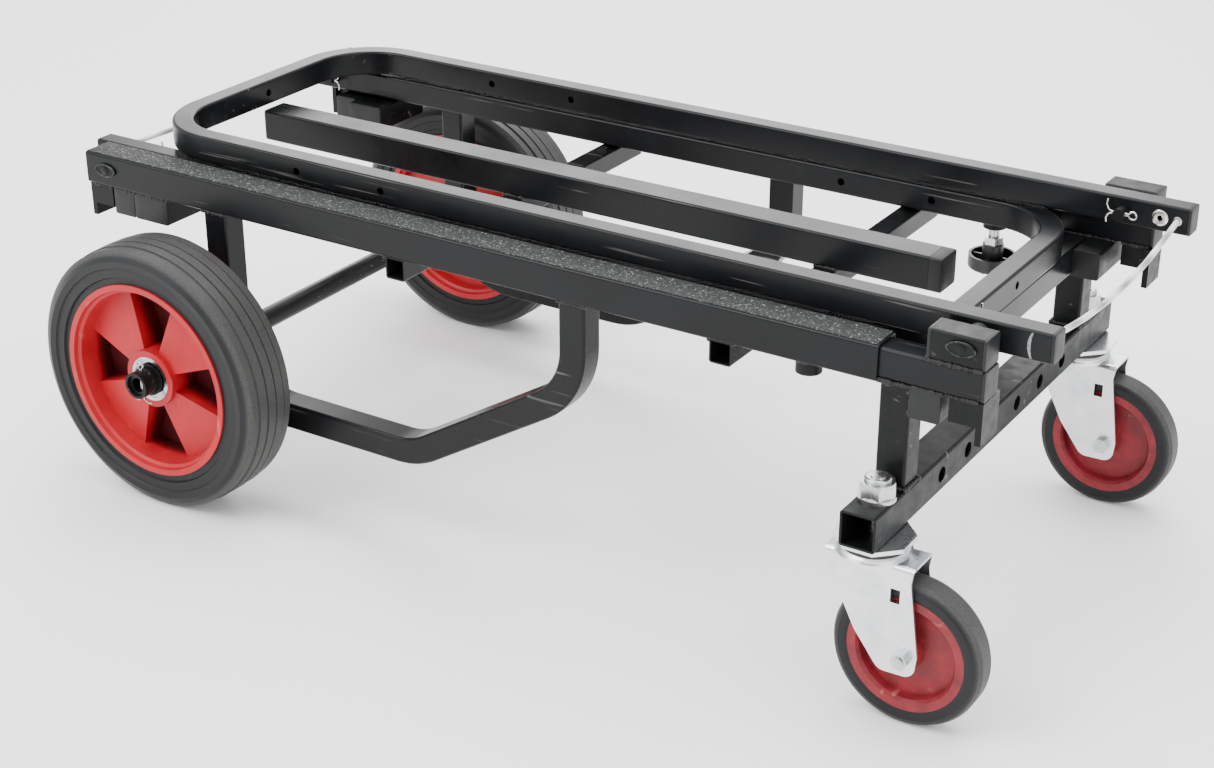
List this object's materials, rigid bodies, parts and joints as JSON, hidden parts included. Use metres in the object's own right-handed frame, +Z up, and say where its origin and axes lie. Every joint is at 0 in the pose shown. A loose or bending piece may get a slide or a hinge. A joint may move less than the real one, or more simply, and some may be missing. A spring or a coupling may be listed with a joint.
{
  "type": "convertible hand truck",
  "caption": "Folding hand truck lying flat as a low platform: telescopic square-tube deck, stacked U handles, large rear wheels and swivel front casters.",
  "frame": {"origin": "centre of the footprint on the floor, with the truck folded flat and the carriage pushed in", "axes": "+X towards the swivel casters, +Y to the left side when looking along +X, +Z up"},
  "size_m": [0.9478, 0.562, 0.3224],
  "materials": {
    "black_steel": "semi-gloss black powder coat on square steel tube",
    "black_plastic": "moulded black polyethylene",
    "grip_tape": "gritty anti-slip tape",
    "zinc": "bright zinc plate",
    "cable": "clear plastic coated wire",
    "wheel_red": "moulded red polypropylene",
    "tyre_rubber": "solid dark grey rubber"
  },
  "bodies": {
    "chassis": {"deck_rail_left": "black_steel", "deck_rail_right": "black_steel", "side_frame_left": "black_steel", "side_frame_right": "black_steel", "grip_tapes": "grip_tape", "deck_cross_members": "black_steel", "centre_rail": "black_steel", "frame_caps": "black_plastic", "axle": "black_steel", "axle_brackets": "black_steel", "axle_collars": "zinc", "axle_split_pins": "zinc", "rear_stop_stubs": "black_steel", "rear_handle_rests": "black_steel", "rear_latch_blocks": "black_steel", "rear_stop_plates": "black_steel", "clamp_bosses": "black_steel", "rear_handle": "black_steel", "rear_handle_plugs": "black_plastic", "rear_handle_eyelets": "zinc", "rear_release_cable": "cable", "rear_pivot_pins": "black_steel", "rear_split_pins": "zinc"},
    "front_carriage": {"slide_rail_left": "black_steel", "slide_rail_right": "black_steel", "pivot_blocks": "black_steel", "carriage_caps": "black_plastic", "front_posts": "black_steel", "front_cross_member": "black_steel", "caster_bar": "black_steel", "front_stop_stubs": "black_steel", "front_latch_blocks": "black_steel", "front_stop_plates": "black_steel", "front_pivot_pins": "black_steel", "front_split_pins": "zinc", "front_pivot_spacers": "black_plastic", "caster_nuts": "zinc", "caster_stems": "zinc", "caster_top_plates": "zinc", "caster_seals": "black_plastic"},
    "front_handle_assembly": {"front_handle": "black_steel", "front_handle_plugs": "black_plastic", "front_handle_eyelets": "zinc", "front_release_cable": "cable"},
    "wheel_left": {"tyre_left": "tyre_rubber", "wheel_hub_left": "wheel_red", "wheel_bearings_left": "zinc"},
    "caster_left": {"caster_fork_left": "zinc", "caster_axle_bolt_left": "zinc"},
    "caster_wheel_assembly_left": {"caster_tyre_left": "tyre_rubber", "caster_wheel_left": "wheel_red"},
    "wheel_right": {"tyre_right": "tyre_rubber", "wheel_hub_right": "wheel_red", "wheel_bearings_right": "zinc"},
    "caster_right": {"caster_fork_right": "zinc", "caster_axle_bolt_right": "zinc"},
    "caster_wheel_assembly_right": {"caster_tyre_right": "tyre_rubber", "caster_wheel_right": "wheel_red"},
    "knob": {"clamp_knob": "black_plastic", "clamp_stud": "zinc"}
  },
  "joints": [
    {"name": "carriage_slide", "type": "slide", "parent": "chassis", "child": "front_carriage", "axis": [1, 0, 0], "range_m": [0, 0.4]},
    {"name": "front_handle_swing", "type": "hinge", "parent": "front_carriage", "child": "front_handle_assembly", "pos_m": [0.4155, 0, 0.3104], "axis": [0, 1, 0], "range_deg": [0, 90]},
    {"name": "wheel_spin_left", "type": "hinge", "parent": "chassis", "child": "wheel_left", "pos_m": [-0.3303, 0.2406, 0.125], "axis": [0, 1, 0], "continuous": true},
    {"name": "caster_swivel_left", "type": "hinge", "parent": "front_carriage", "child": "caster_left", "pos_m": [0.3655, 0.2115, 0.1449], "axis": [0, 0, 1], "continuous": true},
    {"name": "caster_spin_left", "type": "hinge", "parent": "caster_left", "child": "caster_wheel_assembly_left", "pos_m": [0.4019, 0.2115, 0.0625], "axis": [0, 1, 0], "continuous": true},
    {"name": "wheel_spin_right", "type": "hinge", "parent": "chassis", "child": "wheel_right", "pos_m": [-0.3303, -0.2406, 0.125], "axis": [0, 1, 0], "continuous": true},
    {"name": "caster_swivel_right", "type": "hinge", "parent": "front_carriage", "child": "caster_right", "pos_m": [0.3655, -0.2115, 0.1449], "axis": [0, 0, 1], "continuous": true},
    {"name": "caster_spin_right", "type": "hinge", "parent": "caster_right", "child": "caster_wheel_assembly_right", "pos_m": [0.4019, -0.2115, 0.0625], "axis": [0, 1, 0], "continuous": true},
    {"name": "clamp_knob_turn", "type": "hinge", "parent": "chassis", "child": "knob", "pos_m": [0.2875, 0.1788, 0.227], "axis": [0, 0, 1], "range_deg": [0, 360]}
  ]
}
